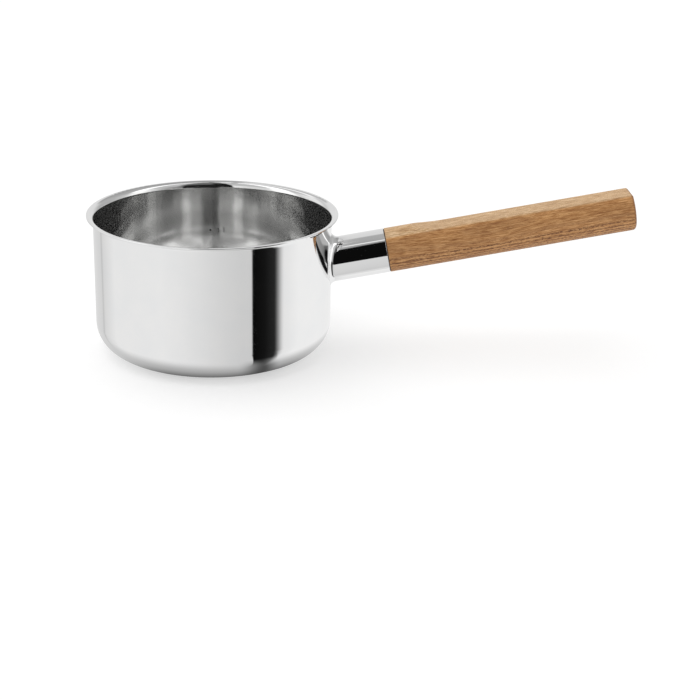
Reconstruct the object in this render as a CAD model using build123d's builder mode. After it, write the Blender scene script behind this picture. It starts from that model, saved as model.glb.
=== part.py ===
from build123d import *
from math import acos, cos, degrees, radians, sin
import os

# Milk pan: a round three-layer pan body with a pouring lip all round, a polished steel
# neck welded to its wall, and a round oak grip with a flat on top. The body's wall is
# ironed: its core thins evenly from the corner of the base up to the lip.
#
# Frame: origin at the centre of the base, +Z up along the axis of the pan, +X towards
# the end of the handle. Lengths are in millimetres, angles in degrees. A place along
# the handle is the distance from the pan's wall along the handle's axis.

os.makedirs("parts", exist_ok=True)

# Pan body
body_radius = 80.0  # outside of the straight wall
body_height = 94.4  # table to the top of the lip
corner_radius = 20.4  # outside, from the base into the wall
skin_thickness = 0.5  # each of the two steel skins
core_thickness = 1.2  # aluminium between them, in the base
lip_curl_radius = 3.2  # underside of the lip, where it leaves the wall
lip_flat_width = 1.2  # level stretch from the curl to the edge
lip_edge_rounding = 0.35
core_end_drop = 3.0  # from the top of the straight wall down to the end of the core

# Neck, and where the handle's axis meets the wall
handle_rise = 61.4
handle_incline = 10.5
neck_radius = 15.0
neck_wall = 1.2
neck_length = 38.3  # wall to mouth
neck_mouth_rounding = 0.3
foot_flare_radius = 4.6  # polished weld from the neck into the wall
foot_flare_sink = 0.4  # the flare would run out this far inside the wall's face

# Oak grip
grip_length = 168.9  # shoulder to end
grip_end_rounding = 2.0
grip_shoulder_rounding = 0.3
flat_depth = 3.2  # of the planed flat below the round
flat_start = 18.0  # shoulder to the corner where the flat begins
flat_scoop_radius = 80.0  # of the cutter's run-out
tenon_length = 16.0
tenon_clearance = 0.3
tenon_end_gap = 0.5

# Seal between the neck's mouth and the grip's shoulder
seal_thickness = 0.5
seal_recess = 0.5  # from the neck's outside in to the seal's edge

# Plate welded in the neck's bore, and its nut
plate_thickness = 2.5
plate_gap = 0.1
nut_flats = 8.0
nut_height = 4.0

# Tie screw through the whole grip, and its washers
screw_diameter = 5.0
screw_tip_overhang = 1.5  # beyond the nut
screw_head_diameter = 8.5
screw_head_height = 5.0
screw_socket_flats = 4.0
screw_socket_depth = 2.5
thread_gap = 0.05
screw_hole_gap = 0.3
washer_diameter = 10.0
washer_thickness = 1.0
spring_washer_diameter = 9.0
spring_washer_thickness = 1.3
spring_washer_slot = 1.2

# Oak plug that closes the screw's counterbore
counterbore_diameter = 11.2
plug_length = 6.0
plug_gap = 0.1
plug_end_gap = 1.0

# Pin that keeps the flat on top
pin_diameter = 3.0
pin_offset = 8.5  # below the handle's axis
pin_tenon_depth = 6.5
pin_gap = 0.05
pin_end_gap = 0.5

# Reach of every cut past the face that it leaves by
cut_overrun = 2.0

# Radii and heights worked out from the sizes above
lip_edge_radius = body_radius + lip_curl_radius + lip_flat_width
lip_underside = body_height - 2 * skin_thickness
curl_start = lip_underside - lip_curl_radius
core_top = curl_start - core_end_drop

neck_bore_radius = neck_radius - neck_wall
grip_radius = neck_radius
flat_level = grip_radius - flat_depth
tenon_radius = neck_bore_radius - tenon_clearance
screw_radius = screw_diameter / 2
threaded_hole_radius = screw_radius + thread_gap
clear_hole_radius = screw_radius + screw_hole_gap
counterbore_radius = counterbore_diameter / 2
counterbore_depth = (
    plug_length + plug_end_gap + screw_head_height + spring_washer_thickness + washer_thickness
)
pin_hole_radius = pin_diameter / 2 + pin_gap

# Places along the handle, from the neck's mouth inwards and then from the grip's end
shoulder_place = neck_length + seal_thickness
tenon_place = shoulder_place - tenon_length
plate_outer_place = tenon_place - tenon_end_gap
plate_place = plate_outer_place - plate_thickness
nut_place = plate_place - nut_height
screw_tip_place = nut_place - screw_tip_overhang
grip_end_place = shoulder_place + grip_length
plug_place = grip_end_place - plug_length
washer_place = grip_end_place - counterbore_depth
spring_washer_place = washer_place + washer_thickness
head_place = spring_washer_place + spring_washer_thickness
pin_end_place = tenon_place + pin_tenon_depth

# The handle's frame: its normal is the handle's axis, and its own X points up
along_handle = Vector(cos(radians(handle_incline)), 0, sin(radians(handle_incline)))
handle_up = Vector(-along_handle.Z, 0, along_handle.X)
handle_frame = Plane(origin=(body_radius, 0, handle_rise), x_dir=handle_up, z_dir=along_handle)
handle_side = Plane(origin=handle_frame.origin, x_dir=along_handle, z_dir=(0, -1, 0))

# The pan's own frame, turned so that a round wall's seam lies opposite the handle
away_from_handle = Plane(origin=(0, 0, 0), x_dir=(-1, 0, 0), z_dir=(0, 0, 1))


def across(place):
    """Plane square to the handle's axis at this place."""
    return handle_frame.offset(place)


def bowl_face(skins, cores):
    """Half section of the bowl's face that has this many skins and cores outside it.

    It runs from the pan's axis up to the start of the lip's curl, where the core is gone.
    """
    skin_depth = skins * skin_thickness
    base_depth = skin_depth + cores * core_thickness
    Line((0, base_depth), (body_radius - corner_radius, base_depth))
    CenterArc((body_radius - corner_radius, corner_radius), corner_radius - base_depth, -90, 90)
    Line((body_radius - base_depth, corner_radius), (body_radius - skin_depth, curl_start))


def lip_face(skins):
    """Half section of the lip's face above this many skins, from the curl out to the edge."""
    lift = skins * skin_thickness
    curl_centre = (body_radius + lip_curl_radius, curl_start)
    CenterArc(curl_centre, lip_curl_radius + lift, 180, -90)
    Line(
        (body_radius + lip_curl_radius, lip_underside + lift),
        (lip_edge_radius, lip_underside + lift),
    )


# Outer skin: magnetic stainless steel, the polished outside of the pan
with BuildPart() as outer_skin:
    with BuildSketch(Plane.XZ) as section:
        with BuildLine():
            bowl_face(0, 0)
            lip_face(0)
            bowl_face(1, 0)
            lip_face(1)
            Line((0, 0), (0, skin_thickness))
            Line(
                (lip_edge_radius, lip_underside),
                (lip_edge_radius, lip_underside + skin_thickness),
            )
        make_face()
        lip_edge = section.vertices().group_by(Axis.X)[-1].sort_by(Axis.Y)[0]
        fillet(lip_edge, lip_edge_rounding)
    revolve(axis=Axis.Z)
outer_skin.part.label = "outer_skin"
export_step(outer_skin.part, "parts/outer_skin.step")

# Core: aluminium that spreads the heat, sealed between the skins below the lip
with BuildPart() as aluminium_core:
    with BuildSketch(Plane.XZ) as section:
        with BuildLine():
            bowl_face(1, 0)
            bowl_face(1, 1)
            Line((0, skin_thickness), (0, skin_thickness + core_thickness))
        make_face()
        with Locations((0, core_top)):
            Rectangle(
                lip_edge_radius + cut_overrun,
                body_height,
                align=(Align.MIN, Align.MIN),
                mode=Mode.SUBTRACT,
            )
    revolve(axis=Axis.Z)
aluminium_core.part.label = "aluminium_core"
export_step(aluminium_core.part, "parts/aluminium_core.step")

# Inner skin: stainless steel, from the cooking surface to the upper face of the lip
with BuildPart() as inner_skin:
    with BuildSketch(Plane.XZ) as section:
        with BuildLine():
            bowl_face(1, 1)
            lip_face(1)
            bowl_face(2, 1)
            lip_face(2)
            Line((0, skin_thickness + core_thickness), (0, 2 * skin_thickness + core_thickness))
            Line((lip_edge_radius, lip_underside + skin_thickness), (lip_edge_radius, body_height))
        make_face()
        lip_edge = section.vertices().group_by(Axis.X)[-1].sort_by(Axis.Y)[-1]
        fillet(lip_edge, lip_edge_rounding)
    revolve(axis=Axis.Z)
inner_skin.part.label = "inner_skin"
export_step(inner_skin.part, "parts/inner_skin.step")

# Neck: polished steel tube whose foot flares into the wall
with BuildPart() as neck:
    with BuildSketch(away_from_handle):
        Circle(body_radius - foot_flare_sink)
    extrude(amount=body_height)
    with BuildSketch(across(-neck_radius)):
        Circle(neck_radius)
    extrude(amount=neck_radius + neck_length)
    fillet(neck.edges(Select.NEW), foot_flare_radius)
    with BuildSketch(away_from_handle):
        Circle(body_radius)
    extrude(amount=body_height, mode=Mode.SUBTRACT)
    mouth_edge = neck.edges().sort_by(Axis(handle_frame.origin, along_handle))[-1]
    fillet(mouth_edge, neck_mouth_rounding)
    with BuildSketch(across(-neck_radius)):
        Circle(neck_bore_radius)
    extrude(amount=neck_radius + neck_length + cut_overrun, mode=Mode.SUBTRACT)
neck.part.label = "neck"
export_step(neck.part, "parts/neck.step")

# Neck plate: disc welded across the bore, with holes for the screw and the pin
with BuildPart() as neck_plate:
    with BuildSketch(across(plate_place)):
        Circle(neck_bore_radius - plate_gap)
        Circle(clear_hole_radius, mode=Mode.SUBTRACT)
        with Locations((-pin_offset, 0)):
            Circle(pin_hole_radius, mode=Mode.SUBTRACT)
    extrude(amount=plate_thickness)
neck_plate.part.label = "neck_plate"
export_step(neck_plate.part, "parts/neck_plate.step")

# Plate nut: welded to the plate's face towards the pan
with BuildPart() as plate_nut:
    with BuildSketch(across(nut_place)):
        RegularPolygon(nut_flats / 2, side_count=6, major_radius=False)
        Circle(threaded_hole_radius, mode=Mode.SUBTRACT)
    extrude(amount=nut_height)
plate_nut.part.label = "plate_nut"
export_step(plate_nut.part, "parts/plate_nut.step")

# Seal ring: keeps water out of the neck, and the steel off the grip's shoulder
with BuildPart() as seal_ring:
    with BuildSketch(across(neck_length)):
        Circle(neck_radius - seal_recess)
        Circle(neck_bore_radius, mode=Mode.SUBTRACT)
    extrude(amount=seal_thickness)
seal_ring.part.label = "seal_ring"
export_step(seal_ring.part, "parts/seal_ring.step")

# Grip: turned oak with a tenon, a planed flat that scoops down into the round, a bore
# for the tie screw, a counterbore for its head and a hole for the pin
with BuildPart() as grip:
    with BuildSketch(across(shoulder_place)):
        Circle(grip_radius)
    extrude(amount=grip_length)
    shoulder_edge = grip.edges().sort_by(Axis(handle_frame.origin, along_handle))[0]
    fillet(shoulder_edge, grip_shoulder_rounding)
    scoop_angle = acos((flat_scoop_radius - flat_depth) / flat_scoop_radius)
    scoop_start = shoulder_place + flat_start
    scoop_end = scoop_start + flat_scoop_radius * sin(scoop_angle)
    scoop_centre = (scoop_end, flat_level + flat_scoop_radius)
    cut_end = grip_end_place + cut_overrun
    cut_top = grip_radius + cut_overrun
    with BuildSketch(handle_side):
        with BuildLine():
            CenterArc(scoop_centre, flat_scoop_radius, 270 - degrees(scoop_angle), degrees(scoop_angle))
            Polyline(
                (scoop_end, flat_level),
                (cut_end, flat_level),
                (cut_end, cut_top),
                (scoop_start, cut_top),
                (scoop_start, grip_radius),
            )
        make_face()
    extrude(amount=grip_radius + cut_overrun, both=True, mode=Mode.SUBTRACT)
    end_face = grip.faces().sort_by(Axis(handle_frame.origin, along_handle))[-1]
    fillet(end_face.edges(), grip_end_rounding)
    with BuildSketch(across(tenon_place)):
        Circle(tenon_radius)
    extrude(amount=tenon_length)
    with BuildSketch(across(tenon_place - cut_overrun)):
        Circle(clear_hole_radius)
    extrude(amount=grip_end_place - tenon_place + 2 * cut_overrun, mode=Mode.SUBTRACT)
    with BuildSketch(across(washer_place)):
        Circle(counterbore_radius)
    extrude(amount=counterbore_depth + cut_overrun, mode=Mode.SUBTRACT)
    with BuildSketch(across(tenon_place - cut_overrun)):
        with Locations((-pin_offset, 0)):
            Circle(pin_hole_radius)
    extrude(amount=cut_overrun + pin_tenon_depth + pin_end_gap, mode=Mode.SUBTRACT)
grip.part.label = "grip"
export_step(grip.part, "parts/grip.step")

# Locating pin: from the plate into the tenon
with BuildPart() as locating_pin:
    with BuildSketch(across(plate_place)):
        with Locations((-pin_offset, 0)):
            Circle(pin_diameter / 2)
    extrude(amount=pin_end_place - plate_place)
locating_pin.part.label = "locating_pin"
export_step(locating_pin.part, "parts/locating_pin.step")

# Tie screw: socket head at the grip's end, shank through the grip, tip through the nut
with BuildPart() as tie_screw:
    with BuildSketch(across(screw_tip_place)):
        Circle(screw_radius)
    extrude(amount=head_place - screw_tip_place)
    with BuildSketch(across(head_place)):
        Circle(screw_head_diameter / 2)
    extrude(amount=screw_head_height)
    with BuildSketch(across(head_place + screw_head_height - screw_socket_depth)):
        RegularPolygon(screw_socket_flats / 2, side_count=6, major_radius=False)
    extrude(amount=screw_socket_depth + cut_overrun, mode=Mode.SUBTRACT)
tie_screw.part.label = "tie_screw"
export_step(tie_screw.part, "parts/tie_screw.step")

# Washer: spreads the screw's pull on the counterbore's floor
with BuildPart() as washer:
    with BuildSketch(across(washer_place)):
        Circle(washer_diameter / 2)
        Circle(clear_hole_radius, mode=Mode.SUBTRACT)
    extrude(amount=washer_thickness)
washer.part.label = "washer"
export_step(washer.part, "parts/washer.step")

# Spring washer: split ring that keeps the screw tight as the oak dries
with BuildPart() as spring_washer:
    with BuildSketch(across(spring_washer_place)):
        Circle(spring_washer_diameter / 2)
        Circle(clear_hole_radius, mode=Mode.SUBTRACT)
        Rectangle(
            spring_washer_diameter,
            spring_washer_slot,
            align=(Align.MIN, Align.CENTER),
            mode=Mode.SUBTRACT,
        )
    extrude(amount=spring_washer_thickness)
spring_washer.part.label = "spring_washer"
export_step(spring_washer.part, "parts/spring_washer.step")

# End plug: oak, glued in flush over the screw's head
with BuildPart() as end_plug:
    with BuildSketch(across(plug_place)):
        Circle(counterbore_radius - plug_gap)
    extrude(amount=plug_length)
end_plug.part.label = "end_plug"
export_step(end_plug.part, "parts/end_plug.step")
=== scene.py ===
from math import cos, radians, sin

import bmesh
import bpy
from mathutils import Matrix, Vector


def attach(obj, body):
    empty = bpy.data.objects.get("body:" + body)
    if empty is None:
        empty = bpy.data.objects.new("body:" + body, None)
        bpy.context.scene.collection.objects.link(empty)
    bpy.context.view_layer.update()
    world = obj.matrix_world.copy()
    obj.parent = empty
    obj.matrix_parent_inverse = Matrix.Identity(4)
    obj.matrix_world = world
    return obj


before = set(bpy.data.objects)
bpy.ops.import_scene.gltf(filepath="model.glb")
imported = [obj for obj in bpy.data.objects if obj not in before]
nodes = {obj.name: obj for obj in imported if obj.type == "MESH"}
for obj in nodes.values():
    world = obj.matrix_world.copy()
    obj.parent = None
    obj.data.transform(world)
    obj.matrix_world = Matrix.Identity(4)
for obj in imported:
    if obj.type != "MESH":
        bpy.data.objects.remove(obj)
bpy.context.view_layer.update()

scene = bpy.context.scene
MM = 0.001

# Sizes that the scene shares with the CAD, in millimetres and degrees
BODY_RADIUS = 80.0
BODY_HEIGHT = 94.4
CORNER_TOP = 20.4
WALL_TOP = 90.2
INSIDE_RADIUS_LOW = 77.8
INSIDE_RADIUS_HIGH = 79.0
HANDLE_RISE = 61.4
HANDLE_INCLINE = radians(10.5)
GRIP_START = 38.8
GRIP_END = 207.7
FLAT_LEVEL = 11.8

HANDLE_ORIGIN = Vector((BODY_RADIUS, 0, HANDLE_RISE)) * MM
ALONG_HANDLE = Vector((cos(HANDLE_INCLINE), 0, sin(HANDLE_INCLINE)))
HANDLE_SIDE = (0, 1, 0)
HANDLE_UP = Vector((-sin(HANDLE_INCLINE), 0, cos(HANDLE_INCLINE)))

# A range is a pair (low, high). Most values of a noise texture lie in the middle one.
UNIT = (0.0, 1.0)
MIDDLE = (0.3, 0.7)


# Node helpers
def add(tree, kind, inputs=None, **settings):
    """A new node; inputs maps a socket's name or number to a value or to another node's output."""
    node = tree.nodes.new(kind)
    for key, value in settings.items():
        setattr(node, key, value)
    for key, value in (inputs or {}).items():
        if isinstance(value, bpy.types.NodeSocket):
            tree.links.new(value, node.inputs[key])
        else:
            node.inputs[key].default_value = value
    return node


def calc(tree, operation, *values):
    """Output of a Math node."""
    return add(tree, "ShaderNodeMath", dict(enumerate(values)), operation=operation).outputs[0]


def plus(tree, first, second):
    return calc(tree, "ADD", first, second)


def minus(tree, first, second):
    return calc(tree, "SUBTRACT", first, second)


def times(tree, first, second):
    return calc(tree, "MULTIPLY", first, second)


def length(tree, x, y):
    """Length of the flat vector (x, y)."""
    return calc(tree, "SQRT", plus(tree, times(tree, x, x), times(tree, y, y)))


def angle_of(tree, across, towards):
    """Angle in degrees whose tangent is across / towards."""
    return calc(tree, "DEGREES", calc(tree, "ARCTAN2", across, towards))


def dot(tree, vector, axis):
    node = add(tree, "ShaderNodeVectorMath", {0: vector, 1: tuple(axis)}, operation="DOT_PRODUCT")
    return node.outputs["Value"]


def vector_of(tree, x, y, z):
    return add(tree, "ShaderNodeCombineXYZ", {0: x, 1: y, 2: z}).outputs[0]


def parts_of(tree, vector):
    return add(tree, "ShaderNodeSeparateXYZ", {0: vector}).outputs


def object_place(tree):
    return add(tree, "ShaderNodeTexCoord").outputs["Object"]


def smooth(tree, value, edge):
    """0 below the edge's range, 1 above it, with a smooth step in it."""
    low, high = edge
    return add(
        tree,
        "ShaderNodeMapRange",
        {"Value": value, "From Min": low, "From Max": high},
        interpolation_type="SMOOTHSTEP",
    ).outputs[0]


def fall(tree, value, edge):
    """1 below the edge's range, 0 above it, with a smooth step in it."""
    return minus(tree, 1.0, smooth(tree, value, edge))


def between(tree, value, limits, soft):
    """1 between the limits, 0 outside, with edges this soft."""
    low, high = limits
    rise = smooth(tree, value, (low - soft / 2, low + soft / 2))
    return times(tree, rise, fall(tree, value, (high - soft / 2, high + soft / 2)))


def spread(tree, value, source, target):
    """The value, moved in proportion from the source range to the target range."""
    return add(
        tree,
        "ShaderNodeMapRange",
        {
            "Value": value,
            "From Min": source[0],
            "From Max": source[1],
            "To Min": target[0],
            "To Max": target[1],
        },
    ).outputs[0]


def noise(tree, vector, scale, detail=2.0, roughness=0.5):
    return add(
        tree,
        "ShaderNodeTexNoise",
        {"Vector": vector, "Scale": scale, "Detail": detail, "Roughness": roughness},
    ).outputs[0]


def grey(value):
    return (value, value, value, 1)


def ramp(tree, value, stops):
    """Colour ramp; stops are (place, grey or colour)."""
    node = add(tree, "ShaderNodeValToRGB", {0: value})
    elements = node.color_ramp.elements
    while len(elements) < len(stops):
        elements.new(0.5)
    for element, (place, colour) in zip(elements, stops):
        element.position = place
    for element, (place, colour) in zip(elements, stops):
        element.color = colour if isinstance(colour, tuple) else grey(colour)
    return node.outputs[0]


def blend(tree, factor, first, second, blend_type="MIX"):
    """Colour mix."""
    node = add(tree, "ShaderNodeMix", data_type="RGBA", blend_type=blend_type)
    for socket, value in (("Factor_Float", factor), ("A_Color", first), ("B_Color", second)):
        target = next(s for s in node.inputs if s.identifier == socket)
        if isinstance(value, bpy.types.NodeSocket):
            tree.links.new(value, target)
        else:
            target.default_value = value
    return next(s for s in node.outputs if s.identifier == "Result_Color")


def mix_numbers(tree, factor, first, second):
    return add(tree, "ShaderNodeMix", {0: factor, 2: first, 3: second}, data_type="FLOAT").outputs[0]


def mix_shaders(tree, factor, first, second):
    return add(tree, "ShaderNodeMixShader", {0: factor, 1: first, 2: second}).outputs[0]


def by_ray(tree, for_camera, for_gloss, for_others):
    """The first shader for camera rays, the second for glossy rays, the third for all the others."""
    path = add(tree, "ShaderNodeLightPath").outputs
    shown = mix_shaders(tree, path["Is Glossy Ray"], for_others, for_gloss)
    return mix_shaders(tree, path["Is Camera Ray"], shown, for_camera)


def material(name):
    """A new material with an empty tree, its tree and its output node."""
    made = bpy.data.materials.new(name)
    made.use_nodes = True
    tree = made.node_tree
    tree.nodes.clear()
    return made, tree, add(tree, "ShaderNodeOutputMaterial")


def principled(tree, output, **inputs):
    sockets = {name.replace("_", " "): value for name, value in inputs.items()}
    shader = add(tree, "ShaderNodeBsdfPrincipled", sockets)
    tree.links.new(shader.outputs[0], output.inputs["Surface"])


def dress(obj, finish):
    obj.data.materials.clear()
    obj.data.materials.append(finish)


# Polished steel, with a slight haze
STEEL_CLOUD_SCALE = 60.0
STEEL_CLOUD_ROUGH = (0.03, 0.05)
STEEL_HAZE_SCALE = 900.0
STEEL_HAZE_RANGE = (0.35, 0.7)
STEEL_HAZE_ROUGH = (0.0, 0.012)
STEEL_TINTS = [(0.35, (0.825, 0.828, 0.83, 1)), (0.65, (0.845, 0.843, 0.84, 1))]


def polished_steel():
    made, tree, output = material("polished_steel")
    here = object_place(tree)
    cloud = noise(tree, here, STEEL_CLOUD_SCALE, detail=3.0)
    haze = noise(tree, here, STEEL_HAZE_SCALE)
    cloud_rough = spread(tree, cloud, MIDDLE, STEEL_CLOUD_ROUGH)
    haze_rough = spread(tree, haze, STEEL_HAZE_RANGE, STEEL_HAZE_ROUGH)
    principled(
        tree,
        output,
        Base_Color=ramp(tree, cloud, STEEL_TINTS),
        Metallic=1.0,
        Roughness=plus(tree, cloud_rough, haze_rough),
    )
    return made


# Satin steel, turned all round; its lip is polished, and a fine step runs where the wall begins, with a
# lighter ring of painted highlight on it
RING_MARKS = 4200.0
TURN_MARKS = 5.0
LINES_NOISE = {"scale": 1.0, "detail": 3.0, "roughness": 0.6}
SATIN_CLOUD_SCALE = 45.0
SATIN_TINTS = [(0.3, (0.75, 0.75, 0.745, 1)), (0.7, (0.79, 0.79, 0.785, 1))]
SATIN_CLOUD_ROUGH = (0.048, 0.056)
SATIN_LINE_ROUGH = (-0.004, 0.004)
SATIN_METALLIC = 0.97
SMEAR_TURN_SHARE = 0.25
LIP_EDGE = ((BODY_HEIGHT - 3.2) * MM, (BODY_HEIGHT - 1.2) * MM)
LIP_TINT = grey(0.83)
LIP_ROUGH = 0.045
LEDGE_PLACE = CORNER_TOP * MM
LEDGE_HALF_HEIGHT = 0.8 * MM
LEDGE_DEPTH = 0.6 * MM
# the ring's lighter tint at the step is a painted highlight
LEDGE_PAINTED_HIGHLIGHT_TINT = grey(0.9)


def satin_steel():
    made, tree, output = material("satin_steel")
    here = object_place(tree)
    x, y, height = parts_of(tree, here)
    profile = plus(tree, length(tree, x, y), height)
    turn = calc(tree, "ARCTAN2", y, x)
    marks_place = vector_of(tree, times(tree, profile, RING_MARKS), times(tree, turn, TURN_MARKS), 0.0)
    lines = noise(tree, marks_place, **LINES_NOISE)
    cloud = noise(tree, here, SATIN_CLOUD_SCALE, detail=3.0)
    lip = smooth(tree, height, LIP_EDGE)
    tint = blend(tree, lip, ramp(tree, lines, SATIN_TINTS), LIP_TINT)

    # a lighter ring at the step is painted highlight, standing for the light that the step's edge catches;
    # the step itself is a bump
    ledge_low, ledge_high = LEDGE_PLACE - LEDGE_HALF_HEIGHT, LEDGE_PLACE + LEDGE_HALF_HEIGHT
    ledge_rise = smooth(tree, height, (ledge_low, LEDGE_PLACE))
    ledge_fall = fall(tree, height, (LEDGE_PLACE, ledge_high))
    tint = blend(tree, times(tree, ledge_rise, ledge_fall), tint, LEDGE_PAINTED_HIGHLIGHT_TINT)
    step = smooth(tree, height, (ledge_low, ledge_high))
    bump = add(
        tree, "ShaderNodeBump", {"Strength": 1.0, "Distance": LEDGE_DEPTH, "Height": step}, invert=True
    ).outputs[0]

    # the turning marks smear the gloss up and down
    cloud_rough = spread(tree, cloud, MIDDLE, SATIN_CLOUD_ROUGH)
    line_rough = spread(tree, lines, MIDDLE, SATIN_LINE_ROUGH)
    rough = mix_numbers(tree, lip, plus(tree, cloud_rough, line_rough), LIP_ROUGH)
    round_the_axis = add(tree, "ShaderNodeTangent", direction_type="RADIAL", axis="Z").outputs[0]
    principled(
        tree,
        output,
        Base_Color=tint,
        Metallic=SATIN_METALLIC,
        Roughness=rough,
        Anisotropic=1.0,
        Anisotropic_Rotation=SMEAR_TURN_SHARE,
        Normal=bump,
        Tangent=round_the_axis,
    )
    return made


# Plain metals of the hidden pieces
PLAIN_DARK_SHARE = 0.9
PLAIN_ROUGH_CHANGE = 0.06


def plain_metal(name, colour, rough, scale):
    made, tree, output = material(name)
    cloud = noise(tree, object_place(tree), scale, detail=3.0)
    dark = tuple(PLAIN_DARK_SHARE * part for part in colour) + (1,)
    light = tuple(colour) + (1,)
    rough_range = (rough - PLAIN_ROUGH_CHANGE, rough + PLAIN_ROUGH_CHANGE)
    principled(
        tree,
        output,
        Base_Color=ramp(tree, cloud, list(zip(MIDDLE, (dark, light)))),
        Metallic=1.0,
        Roughness=spread(tree, cloud, MIDDLE, rough_range),
    )
    return made


# Rubber of the seal
RUBBER_GRAIN_SCALE = 2500.0
RUBBER_TINTS = [(0.3, (0.012, 0.011, 0.01, 1)), (0.7, (0.03, 0.027, 0.024, 1))]
RUBBER_ROUGH = 0.6
RUBBER_BUMP = 0.2
RUBBER_RELIEF = 0.1 * MM


def rubber():
    made, tree, output = material("seal_rubber")
    grain = noise(tree, object_place(tree), RUBBER_GRAIN_SCALE)
    bump = add(
        tree, "ShaderNodeBump", {"Strength": RUBBER_BUMP, "Distance": RUBBER_RELIEF, "Height": grain}
    ).outputs[0]
    tint = ramp(tree, grain, RUBBER_TINTS)
    principled(tree, output, Base_Color=tint, Roughness=RUBBER_ROUGH, Normal=bump)
    return made


# Oak, in millimetres; a stretch is a pattern's frequency along the handle, to its side and up
MM_PER_METRE = 1000.0
WANDER_STRETCH = (0.012, 0.03, 0.03)
WANDER_RANGE = (0.25, 0.75)
WANDER_REACH = (-2.0, 2.0)
START_LENGTH = 55.0
START_SHIFT = (-3.2, 0.0)
RING_WIDTH = 1.8
RING_STOPS = [(0.0, 0.9), (0.2, 0.7), (0.45, 0.1), (0.85, 0.0), (1.0, 0.9)]
RING_SHARE = 0.3
RING_TINT = (0.30, 0.145, 0.06, 1)
FIBRE_STRETCH = (0.05, 1.0, 1.0)
FIBRE_NOISE = {"scale": 2.0, "detail": 5.0, "roughness": 0.8}
FIBRE_TINTS = [(0.40, (0.27, 0.105, 0.028, 1)), (0.5, (0.49, 0.24, 0.085, 1)), (0.60, (0.70, 0.40, 0.175, 1))]
FIBRE_RELIEF = 0.3
STREAK_NOISE = {"scale": 0.45, "detail": 3.0, "roughness": 0.6}
STREAK_TINTS = [(0.3, (0.84, 0.8, 0.76, 1)), (0.7, (1.1, 1.1, 1.1, 1))]
PORE_STRETCH = (0.22, 1.0, 1.0)
PORE_NOISE = {"scale": 2.2, "detail": 3.0, "roughness": 0.65}
PORE_LEVEL = 0.7
PORE_SOFTNESS = (0.0, 0.08)
LOW_SIDE_EDGE = (-6.0, 2.0)
LOWER_IN_RINGS = (0.11, 0.2)
LOWER_ON_LOW_SIDE = 0.12
PORE_SHARE = 0.9
PORE_TINT = (0.13, 0.045, 0.014, 1)
PORE_RELIEF = 0.4
# the lighter top of the grip is a painted sheen of the light from above
PAINTED_SHEEN_EDGE = (FLAT_LEVEL - 1.2, FLAT_LEVEL - 0.1)
PAINTED_SHEEN_GAIN = (1.28, 1.68, 2.45, 1)
RIM_EDGE = (GRIP_END - 2.2, GRIP_END - 0.6)
RIM_SHARE = 0.5
RIM_TINT = (0.24, 0.095, 0.045, 1)
OAK_BUMP = 0.4
OAK_RELIEF_DEPTH = 0.12 * MM
OAK_ROUGH = (0.5, 0.62)
OAK_SPECULAR = 0.35


def stretched(tree, stretch, along, side, up):
    return vector_of(tree, *[times(tree, part, share) for part, share in zip((along, side, up), stretch)])


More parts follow.
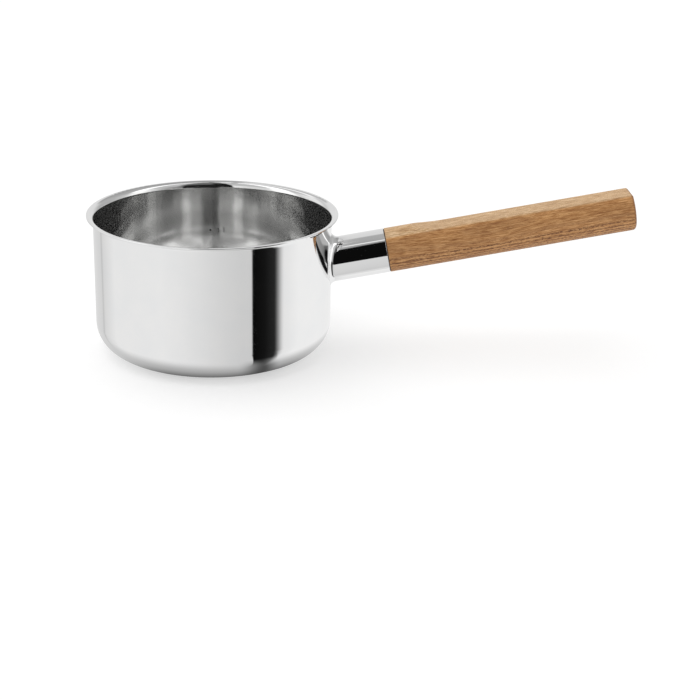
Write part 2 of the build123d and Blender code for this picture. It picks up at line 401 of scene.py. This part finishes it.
def oak(name, pith_side, pith_height):
    """Oak with its grain along the handle. The pith lies this far from the handle's axis."""
    made, tree, output = material(name)
    shift = {0: object_place(tree), 1: tuple(-HANDLE_ORIGIN)}
    from_origin = add(tree, "ShaderNodeVectorMath", shift, operation="ADD").outputs[0]
    scaling = {0: from_origin, "Scale": MM_PER_METRE}
    in_mm = add(tree, "ShaderNodeVectorMath", scaling, operation="SCALE").outputs[0]
    along, side, up = [dot(tree, in_mm, axis) for axis in (ALONG_HANDLE, HANDLE_SIDE, HANDLE_UP)]

    # the grain wanders slowly, and starts above the axis where it leaves the neck
    slow = stretched(tree, WANDER_STRETCH, along, side, up)
    wander = spread(tree, noise(tree, slow, scale=1.0), WANDER_RANGE, WANDER_REACH)
    after_start = smooth(tree, along, (GRIP_START, GRIP_START + START_LENGTH))
    start = spread(tree, after_start, UNIT, START_SHIFT)
    up_grain = plus(tree, plus(tree, up, wander), start)
    ring_radius = length(tree, minus(tree, side, pith_side), minus(tree, up_grain, pith_height))
    ring = calc(tree, "FRACT", calc(tree, "DIVIDE", ring_radius, RING_WIDTH))
    early = ramp(tree, ring, RING_STOPS)

    # fine fibres, soft streaks, and pores that are more in the rings' early wood and on the low side
    fibre_place = stretched(tree, FIBRE_STRETCH, along, side, up_grain)
    fibres = noise(tree, fibre_place, **FIBRE_NOISE)
    streaks = noise(tree, fibre_place, **STREAK_NOISE)
    pores = noise(tree, stretched(tree, PORE_STRETCH, along, side, up_grain), **PORE_NOISE)
    low_side = fall(tree, up, LOW_SIDE_EDGE)
    in_rings = times(tree, early, spread(tree, low_side, UNIT, LOWER_IN_RINGS))
    pore_level = minus(tree, minus(tree, PORE_LEVEL, in_rings), times(tree, low_side, LOWER_ON_LOW_SIDE))
    pore_mask = smooth(tree, minus(tree, pores, pore_level), PORE_SOFTNESS)

    base = ramp(tree, fibres, FIBRE_TINTS)
    toned = blend(tree, 1.0, base, ramp(tree, streaks, STREAK_TINTS), "MULTIPLY")
    with_rings = blend(tree, times(tree, early, RING_SHARE), toned, RING_TINT)
    with_pores = blend(tree, times(tree, pore_mask, PORE_SHARE), with_rings, PORE_TINT)

    # the top is lighter, a painted sheen of the light from above, and the rim of the end grain darker
    painted_sheen_colour = blend(tree, 1.0, with_pores, PAINTED_SHEEN_GAIN, "MULTIPLY")
    with_painted_sheen = blend(tree, smooth(tree, up, PAINTED_SHEEN_EDGE), with_pores, painted_sheen_colour)
    rim = smooth(tree, along, RIM_EDGE)
    colour = blend(tree, times(tree, rim, RIM_SHARE), with_painted_sheen, RIM_TINT)

    relief = minus(tree, times(tree, fibres, FIBRE_RELIEF), times(tree, pore_mask, PORE_RELIEF))
    bump = add(
        tree, "ShaderNodeBump", {"Strength": OAK_BUMP, "Distance": OAK_RELIEF_DEPTH, "Height": relief}
    ).outputs[0]
    principled(
        tree,
        output,
        Base_Color=colour,
        Roughness=spread(tree, fibres, MIDDLE, OAK_ROUGH),
        Normal=bump,
        Specular_IOR_Level=OAK_SPECULAR,
    )
    return made


# Etched steel of the litre mark
MARK_GRAIN_SCALE = 4000.0
MARK_TINTS = [(0.3, (0.02, 0.02, 0.02, 1)), (0.7, (0.05, 0.05, 0.05, 1))]
MARK_METALLIC = 0.4
MARK_ROUGH = 0.6


def etched_mark():
    made, tree, output = material("etched_mark")
    grain = noise(tree, object_place(tree), MARK_GRAIN_SCALE)
    tint = ramp(tree, grain, MARK_TINTS)
    principled(tree, output, Base_Color=tint, Metallic=MARK_METALLIC, Roughness=MARK_ROUGH)
    return made


# Every solid of the CAD gets its finish
steel = polished_steel()
satin = satin_steel()
hidden_steel = plain_metal("plain_steel", (0.6, 0.6, 0.6), rough=0.3, scale=400.0)
finishes = {
    "outer_skin": steel,
    "inner_skin": satin,
    "neck": steel,
    "aluminium_core": plain_metal("core_aluminium", (0.75, 0.76, 0.77), rough=0.4, scale=300.0),
    "seal_ring": rubber(),
    "grip": oak("oak", pith_side=38.0, pith_height=-18.0),
    "end_plug": oak("oak_plug", pith_side=-25.0, pith_height=40.0),
}
for name, obj in nodes.items():
    dress(obj, finishes.get(name, hidden_steel))

# Litre mark on the wall inside, opposite the side that the camera is on, in millimetres and degrees
MARK_LEVEL = 58.8
MARK_LIFT = 0.04
STROKE = 0.45
DOT_PLACE, DOT_RADIUS, DOT_STEP = -4.6, 0.65, 20
ONE_PLACE, ONE_HEIGHT = 1.2, 3.3
FLAG_REACH, FLAG_DROP, FOOT_REACH = 0.8, 0.75, 0.5
L_PLACE, L_HEIGHT = 5.0, 3.6

mark_finish = etched_mark()


def on_wall(across, level, lift):
    """Point this far along the wall from the pan's far side, at this level and this far in from the wall."""
    up_the_wall = (level - CORNER_TOP) / (WALL_TOP - CORNER_TOP)
    radius = INSIDE_RADIUS_LOW + (INSIDE_RADIUS_HIGH - INSIDE_RADIUS_LOW) * up_the_wall
    angle = across / radius
    return Vector(((radius - lift) * sin(angle), (radius - lift) * cos(angle), level)) * MM


def wall_shape(name, outline):
    """Thin closed piece with this outline of (across, height above the mark's middle), laid on the wall."""
    mesh = bpy.data.meshes.new(name)
    build = bmesh.new()
    back = [build.verts.new(on_wall(a, MARK_LEVEL + h, 0.0)) for a, h in outline]
    front = [build.verts.new(on_wall(a, MARK_LEVEL + h, MARK_LIFT)) for a, h in outline]
    build.faces.new(back)
    build.faces.new(front[::-1])
    for i in range(len(outline)):
        j = (i + 1) % len(outline)
        build.faces.new((back[j], back[i], front[i], front[j]))
    bmesh.ops.recalc_face_normals(build, faces=build.faces)
    build.to_mesh(mesh)
    build.free()
    obj = bpy.data.objects.new(name, mesh)
    scene.collection.objects.link(obj)
    dress(obj, mark_finish)
    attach(obj, "root")


dot_angles = [radians(turn) for turn in range(0, 360, DOT_STEP)]
wall_shape("litre_mark_dot", [(DOT_PLACE + DOT_RADIUS * cos(a), DOT_RADIUS * sin(a)) for a in dot_angles])

one_foot, one_top = -ONE_HEIGHT / 2, ONE_HEIGHT / 2
one_left, one_right = ONE_PLACE, ONE_PLACE + STROKE
wall_shape(
    "litre_mark_one",
    [
        (one_left - FOOT_REACH, one_foot),
        (one_right + FOOT_REACH, one_foot),
        (one_right + FOOT_REACH, one_foot + STROKE),
        (one_right, one_foot + STROKE),
        (one_right, one_top),
        (one_left, one_top),
        (one_left - FLAG_REACH, one_top - FLAG_DROP),
        (one_left - FLAG_REACH, one_top - FLAG_DROP - STROKE),
        (one_left, one_top - FLAG_DROP),
        (one_left, one_foot + STROKE),
        (one_left - FOOT_REACH, one_foot + STROKE),
    ],
)
wall_shape(
    "litre_mark_l",
    [
        (L_PLACE, one_foot),
        (L_PLACE + STROKE, one_foot),
        (L_PLACE + STROKE, one_foot + L_HEIGHT),
        (L_PLACE, one_foot + L_HEIGHT),
    ],
)

# Studio, as the steel shows it; angles in degrees, azimuths to the right from the camera's side
CAMERA_SIDE = 1.94
SECTOR_SHIFT = 0.1
NECK_PLANE_SLOPE = 0.185

# the far table, by azimuth
TABLE_HORIZON = (-13.2, -12.2)
TABLE_TONES = [
    (-180, 0.8), (-154, 0.76), (-138, 0.74), (-135, 0.6), (-132, 0.76), (-110, 0.93),
    (-52, 0.94), (-31, 0.9), (-12, 0.84), (0, 0.79), (11, 0.75), (26, 0.71),
    (38, 0.70), (70, 0.9), (90, 1.0), (120, 1.0), (180, 0.9),
]

# above the table white screens left and right, and a low light screen right behind the pan
SCREEN_TONES = [
    (-180, 0.42), (-170, 0.5), (-158, 0.75), (-145, 0.65), (-130, 0.95), (-112, 0.95),
    (-98, 0.8), (-88, 1.35), (-66, 1.35), (-58, 0.85), (-40, 0.85), (-28, 1.0),
    (-22, 1.0), (28, 0.12), (36, 0.3), (46, 0.42), (58, 0.7), (76, 1.3),
    (86, 1.25), (98, 0.7), (120, 0.52), (150, 0.48), (165, 0.4), (180, 0.42),
]
BACK_SCREEN_TOP = (23, 29)
BACK_SCREEN_SIDE = (140, 165)
BACK_SCREEN_TONE = grey(0.82)

# higher screens that lean in to a point just behind the zenith, by the azimuth about it
HIGH_SCREEN_TONES = [
    (-180, 0.4), (-165, 0.48), (-152, 0.6), (-144, 1.1), (-130, 1.1), (-120, 0.6),
    (-92, 0.6), (-86, 1.5), (-66, 1.5), (-58, 0.6), (-19, 0.6), (-13, 0.16),
    (31, 0.16), (36, 0.6), (66, 0.6), (75, 1.5), (90, 1.5), (98, 0.48),
    (150, 0.42), (165, 0.34), (180, 0.4),
]
HIGH_SCREEN_FOOT = (30, 40)

# over the handle a ceiling that turns light towards the back, and a white slot at its front edge
CEILING_TONES = [(-180, 0.85), (72, 0.4), (92, 0.46), (112, 0.47), (120, 0.8), (180, 0.85)]
SLOT = (70.5, 76.0)
SLOT_SOFTNESS = 1.0
STRIP_WIDTH = (-0.012, 0.045)
STRIP_SOFTNESS = 0.015
STRIP_START = (50, 60)

# in the middle of the camera's side a dark room, less dark high up on the right
ROOM = (-20.5, 31.0)
ROOM_SOFTNESS = 4.0
ROOM_TOP = (69.4, 70.4)
ROOM_TONE = grey(0.004)
HIGH_RIGHT_SIDE = (-4, 4)
HIGH_RIGHT_FOOT = (40, 48)
HIGH_RIGHT_TONE = grey(0.14)

# a black panel on the right, standing on the table so near that its foot is seen further round
PANEL_NEAR_BELOW = -18.0
PANEL_LEAN = 0.0105
PANEL_LEFT = (36.2, 37.8)
PANEL_RIGHT = (60, 72)
PANEL_FOOT = (-90, -50)
PANEL_TOP = (-8, 0)
PANEL_TONES = [(38, 0.003), (50, 0.008), (62, 0.024)]


def directions(tree):
    """Azimuth, the same about a point just behind the zenith, elevation, angle over the pan from
    the camera's side in the plane square to the handle (all in degrees), and how far the direction
    is from those that the neck's tube shows."""
    x, y, z = parts_of(tree, add(tree, "ShaderNodeTexCoord").outputs["Generated"])
    towards = times(tree, y, -1.0)
    azimuth = minus(tree, angle_of(tree, x, towards), CAMERA_SIDE)
    sector = minus(tree, angle_of(tree, x, plus(tree, towards, SECTOR_SHIFT)), CAMERA_SIDE)
    elevation = calc(tree, "DEGREES", calc(tree, "ARCSINE", z))
    over = angle_of(tree, z, towards)
    from_neck_plane = plus(tree, x, times(tree, z, NECK_PLANE_SLOPE))
    return azimuth, sector, elevation, over, from_neck_plane


def tones_by_angle(tree, angle, tones):
    """Grey by angle; tones are (angle, grey) in order of angle."""
    low, high = tones[0][0], tones[-1][0]
    place = spread(tree, angle, (low, high), UNIT)
    return ramp(tree, place, [((a - low) / (high - low), tone) for a, tone in tones])


def view_of_studio(tree):
    """What the steel shows in each direction."""
    azimuth, sector, elevation, over, from_neck_plane = directions(tree)
    behind = times(
        tree,
        fall(tree, elevation, BACK_SCREEN_TOP),
        smooth(tree, calc(tree, "ABSOLUTE", azimuth), BACK_SCREEN_SIDE),
    )
    screens = blend(tree, behind, tones_by_angle(tree, azimuth, SCREEN_TONES), BACK_SCREEN_TONE)
    high_screens = tones_by_angle(tree, sector, HIGH_SCREEN_TONES)
    upper = blend(tree, smooth(tree, elevation, HIGH_SCREEN_FOOT), screens, high_screens)

    slot = between(tree, over, SLOT, SLOT_SOFTNESS)
    ceiling = blend(tree, slot, tones_by_angle(tree, over, CEILING_TONES), grey(1.0))
    in_strip = between(tree, from_neck_plane, STRIP_WIDTH, STRIP_SOFTNESS)
    strip = times(tree, in_strip, smooth(tree, over, STRIP_START))
    upper = blend(tree, strip, upper, ceiling)

    room = times(tree, between(tree, azimuth, ROOM, ROOM_SOFTNESS), fall(tree, over, ROOM_TOP))
    high_right = times(
        tree, smooth(tree, azimuth, HIGH_RIGHT_SIDE), smooth(tree, elevation, HIGH_RIGHT_FOOT)
    )
    upper = blend(tree, room, upper, blend(tree, high_right, ROOM_TONE, HIGH_RIGHT_TONE))
    table = tones_by_angle(tree, azimuth, TABLE_TONES)
    lit = blend(tree, smooth(tree, elevation, TABLE_HORIZON), table, upper)

    below = calc(tree, "MAXIMUM", minus(tree, PANEL_NEAR_BELOW, elevation), 0.0)
    panel_azimuth = minus(tree, azimuth, times(tree, times(tree, below, below), PANEL_LEAN))
    across = times(
        tree, smooth(tree, panel_azimuth, PANEL_LEFT), fall(tree, panel_azimuth, PANEL_RIGHT)
    )
    upright = times(tree, smooth(tree, elevation, PANEL_FOOT), fall(tree, elevation, PANEL_TOP))
    panel_tone = tones_by_angle(tree, panel_azimuth, PANEL_TONES)
    return blend(tree, times(tree, across, upright), lit, panel_tone)


# The world: white for the camera, the studio for glossy rays, a plain soft light for the rest
SOFT_LIGHT = 0.55


def background(tree, colour, strength):
    return add(tree, "ShaderNodeBackground", {"Color": colour, "Strength": strength}).outputs[0]


world = bpy.data.worlds.new("studio")
scene.world = world
world.use_nodes = True
world.cycles.sampling_method = "NONE"
world_tree = world.node_tree
world_tree.nodes.clear()
seen = by_ray(
    world_tree,
    for_camera=background(world_tree, grey(1.0), 1.0),
    for_gloss=background(world_tree, view_of_studio(world_tree), 1.0),
    for_others=background(world_tree, grey(1.0), SOFT_LIGHT),
)
add(world_tree, "ShaderNodeOutputWorld", {"Surface": seen})

# Table, in metres; in the steel it shows a painted shadow of the pan, dark at the contact, lighter outwards,
# more even beside and behind
TABLE_RADIUS = 8.0
TABLE_SEGMENTS = 96
TABLE_DROP = 0.2 * MM
TABLE_GLOW = 0.55
TABLE_SHADED = 0.5
TABLE_BARE = 0.8
TABLE_LIT_BELOW = 0.3
NEAR_RANGE = (0.06, 0.12)
NEAR_PAINTED_SHADOW_TONES = [
    (0.0, 0.05), (0.075, 0.1), (0.2, 0.32), (0.267, 0.46),
    (0.367, 0.59), (0.5, 0.72), (0.667, 0.78), (1.0, 0.8),
]
NEAR_END = (0.078, 0.1)
SIDES_MIDDLE = 10
SIDES_EDGE = (30, 80)
SIDES_SHARE = 0.75
SIDES_PAINTED_SHADOW_TONE = grey(0.72)
UNDER_PANEL_LEFT = (14, 30)
UNDER_PANEL_RIGHT = (30, 42)
UNDER_PANEL_SHARE = 0.95
UNDER_PANEL_TONE = grey(0.07)


def glow(tree, colour, strength):
    return add(tree, "ShaderNodeEmission", {"Color": colour, "Strength": strength}).outputs[0]


def matt_and_glowing(tree, matt_tone, strength):
    matt = add(tree, "ShaderNodeBsdfDiffuse", {"Color": grey(matt_tone)}).outputs[0]
    return add(tree, "ShaderNodeAddShader", {0: matt, 1: glow(tree, grey(1.0), strength)}).outputs[0]


def table_in_steel(tree):
    """The table near the pan, with a painted shadow of the pan, and where the black panel goes on in it;
    further out it is clear.
    """
    x, y = parts_of(tree, object_place(tree))[:2]
    radius = length(tree, x, y)
    azimuth = angle_of(tree, x, times(tree, y, -1.0))
    # painted shadow of the pan on the table: dark at its foot, lighter outwards and at the sides
    tone = ramp(tree, spread(tree, radius, NEAR_RANGE, UNIT), NEAR_PAINTED_SHADOW_TONES)
    from_middle = calc(tree, "ABSOLUTE", minus(tree, azimuth, SIDES_MIDDLE))
    at_sides = times(tree, smooth(tree, from_middle, SIDES_EDGE), SIDES_SHARE)
    tone = blend(tree, at_sides, tone, SIDES_PAINTED_SHADOW_TONE)
    under_panel = times(
        tree, smooth(tree, azimuth, UNDER_PANEL_LEFT), fall(tree, azimuth, UNDER_PANEL_RIGHT)
    )
    tone = blend(tree, times(tree, under_panel, UNDER_PANEL_SHARE), tone, UNDER_PANEL_TONE)
    clear = add(tree, "ShaderNodeBsdfTransparent").outputs[0]
    return mix_shaders(tree, smooth(tree, radius, NEAR_END), glow(tree, tone, 1.0), clear)


def table_finish():
    made, tree, output = material("table")
    made.cycles.emission_sampling = "NONE"
    shown = by_ray(
        tree,
        for_camera=matt_and_glowing(tree, TABLE_SHADED, TABLE_GLOW),
        for_gloss=table_in_steel(tree),
        for_others=matt_and_glowing(tree, TABLE_BARE, TABLE_LIT_BELOW),
    )
    tree.links.new(shown, output.inputs["Surface"])
    return made


table_build = bmesh.new()
bmesh.ops.create_circle(table_build, cap_ends=True, radius=TABLE_RADIUS, segments=TABLE_SEGMENTS)
table_mesh = bpy.data.meshes.new("table")
table_build.to_mesh(table_mesh)
table_build.free()
table_object = bpy.data.objects.new("table", table_mesh)
table_object.location.z = -TABLE_DROP
scene.collection.objects.link(table_object)
dress(table_object, table_finish())

# One soft sun
SUN_SPREAD = radians(70)
SUN_STRENGTH = 1.5
SUN_PLACE = Vector((-0.5, 0.35, 1.6))

sun_light = bpy.data.lights.new("soft_sun", "SUN")
sun_light.angle = SUN_SPREAD
sun_light.energy = SUN_STRENGTH
sun = bpy.data.objects.new("soft_sun", sun_light)
sun.rotation_mode = "QUATERNION"
sun.rotation_quaternion = SUN_PLACE.to_track_quat("Z", "Y")
sun.visible_glossy = False
scene.collection.objects.link(sun)

# Camera, in pixels, millimetres and radians; the clip range is in metres
CAMERA_FOCAL_PIXELS = 1654.6
PICTURE_PIXELS = 700
SENSOR_WIDTH = 36.0
CAMERA_DISTANCE = 1076.98
CAMERA_HEIGHT = 399.98
CAMERA_AZIMUTH = 0.0339
LOOK_AZIMUTH = 0.0535
LOOK_DOWN = 0.3589
CAMERA_ROLL = 0.0204
CLIP_RANGE = (0.05, 50.0)

camera_data = bpy.data.cameras.new("camera")
camera_data.sensor_width = SENSOR_WIDTH
camera_data.lens = CAMERA_FOCAL_PIXELS * SENSOR_WIDTH / PICTURE_PIXELS
camera_data.clip_start, camera_data.clip_end = CLIP_RANGE
camera = bpy.data.objects.new("camera", camera_data)
scene.collection.objects.link(camera)
forward = Vector(
    (sin(LOOK_AZIMUTH) * cos(LOOK_DOWN), cos(LOOK_AZIMUTH) * cos(LOOK_DOWN), -sin(LOOK_DOWN))
)
right = Vector((cos(LOOK_AZIMUTH), -sin(LOOK_AZIMUTH), 0))
upward = right.cross(forward)
rolled_right = cos(CAMERA_ROLL) * right + sin(CAMERA_ROLL) * upward
rolled_up = -sin(CAMERA_ROLL) * right + cos(CAMERA_ROLL) * upward
turned = Matrix((rolled_right, rolled_up, -forward)).transposed().to_4x4()
place = Vector(
    (CAMERA_DISTANCE * sin(CAMERA_AZIMUTH), -CAMERA_DISTANCE * cos(CAMERA_AZIMUTH), CAMERA_HEIGHT)
)
camera.matrix_world = Matrix.Translation(place * MM) @ turned
bpy.context.scene.camera = camera

scene.view_settings.view_transform = "Standard"
